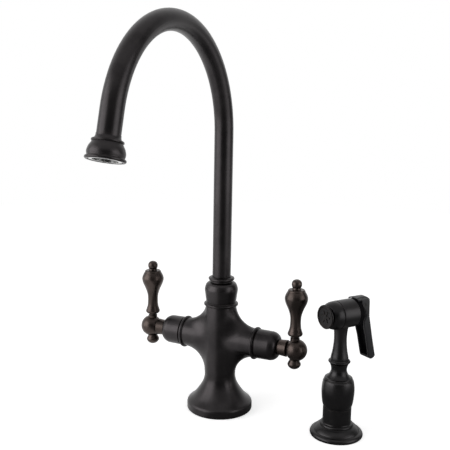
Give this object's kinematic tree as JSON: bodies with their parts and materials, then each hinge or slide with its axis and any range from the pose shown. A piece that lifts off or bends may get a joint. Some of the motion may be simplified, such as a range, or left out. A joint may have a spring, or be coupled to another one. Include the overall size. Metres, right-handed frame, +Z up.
{
  "type": "two handle kitchen faucet",
  "caption": "Deck mounted kitchen faucet: flared foot, cross body, upright baluster lever handles, high gooseneck spout with a bell outlet, and a separate side sprayer with a thumb lever.",
  "frame": {"origin": "centre of the faucet's round foot, on the deck plane", "axes": "+Z up, +X to the user's right along the two arms, the spout reaches along -Y towards the user"},
  "size_m": [0.2664, 0.2695, 0.421],
  "materials": {
    "bronze": "satin oil-rubbed bronze",
    "bronze_handle": "satin oil-rubbed bronze",
    "bronze_sprayer": "satin oil-rubbed bronze",
    "raw_brass": "machined",
    "steel": "fine turned",
    "rubber": "matte",
    "ceramic": "lapped",
    "black_plastic": "satin moulded",
    "white_plastic": "moulded"
  },
  "bodies": {
    "faucet": {"faucet_body": "bronze", "base_gasket": "rubber", "arm_ring_left": "bronze", "arm_ring_right": "bronze", "bonnet_left": "bronze", "bonnet_right": "bronze", "cartridge_left": "raw_brass", "cartridge_right": "raw_brass", "seat_seal_left": "rubber", "seat_seal_right": "rubber", "fixed_disc_left": "ceramic", "fixed_disc_right": "ceramic", "diverter_housing": "white_plastic", "diverter_spring": "steel", "slip_washer": "white_plastic", "friction_bushing": "white_plastic", "spout_collar": "bronze", "holder": "bronze_sprayer", "holder_gasket": "rubber", "holder_liner": "black_plastic"},
    "spout": {"spout_tube": "bronze", "spout_adapter": "raw_brass", "spout_orings": "rubber", "outlet_bell": "bronze", "aerator_housing": "steel", "aerator_screen": "black_plastic", "aerator_washer": "rubber", "flow_disc": "white_plastic"},
    "left_handle": {"lever_left": "bronze_handle", "lever_finial_left": "bronze_handle", "hub_left": "bronze_handle", "hub_finial_left": "bronze_handle", "set_screw_left": "steel", "stem_left": "raw_brass", "stem_orings_left": "rubber", "moving_disc_left": "ceramic"},
    "right_handle": {"lever_right": "bronze_handle", "lever_finial_right": "bronze_handle", "hub_right": "bronze_handle", "hub_finial_right": "bronze_handle", "set_screw_right": "steel", "stem_right": "raw_brass", "stem_orings_right": "rubber", "moving_disc_right": "ceramic"},
    "diverter": {"diverter_piston": "white_plastic"},
    "hose_end": {"hose_coupling": "raw_brass", "coupling_washer": "rubber"},
    "handset": {"grip": "bronze_sprayer", "grip_ferrule": "bronze_sprayer", "sprayer_neck": "bronze_sprayer", "head_body": "bronze_sprayer", "nozzle_ring": "bronze_sprayer", "spray_face": "bronze_sprayer", "valve_cap": "black_plastic", "trigger_pin": "steel", "plunger_spring": "steel"},
    "trigger": {"trigger": "black_plastic"},
    "plunger": {"valve_plunger": "raw_brass", "plunger_seal": "rubber"}
  },
  "joints": [
    {"name": "spout_swivel", "type": "hinge", "parent": "faucet", "child": "spout", "pos_m": [0, 0, 0.12], "axis": [0, 0, 1], "continuous": true},
    {"name": "left_handle_turn", "type": "hinge", "parent": "faucet", "child": "left_handle", "pos_m": [-0.087, 0, 0.0816], "axis": [1, 0, 0], "range_deg": [0, 90]},
    {"name": "right_handle_turn", "type": "hinge", "parent": "faucet", "child": "right_handle", "pos_m": [0.087, 0, 0.0816], "axis": [1, 0, 0], "range_deg": [0, 90]},
    {"name": "diverter_lift", "type": "slide", "parent": "faucet", "child": "diverter", "axis": [0, 0, 1], "range_m": [0, 0.003], "stiffness_N_per_m": 60, "springref_m": -0.002, "deforming": ["diverter_spring"]},
    {"name": "handset_lift", "type": "slide", "parent": "faucet", "child": "hose_end", "axis": [0, 0, 1], "range_m": [0, 0.12]},
    {"name": "handset_turn", "type": "hinge", "parent": "hose_end", "child": "handset", "pos_m": [0.1371, -0.004, 0.03], "axis": [0, 0, 1], "range_deg": [-200, 90]},
    {"name": "trigger_press", "type": "hinge", "parent": "handset", "child": "trigger", "pos_m": [0.15017, 0.01613, 0.1369], "axis": [-0.8387, 0.5446, 0], "range_deg": [0, 12], "stiffness_Nm_per_rad": 0.4, "springref_deg": -5.73},
    {"name": "plunger_press", "type": "slide", "parent": "handset", "child": "plunger", "axis": [-0.5446, -0.8387, 0], "range_m": [0, 0.0017]}
  ],
  "couplings": [
    {"joint": "plunger_press", "follows": "trigger_press", "m_per_rad": 0.0078}
  ]
}
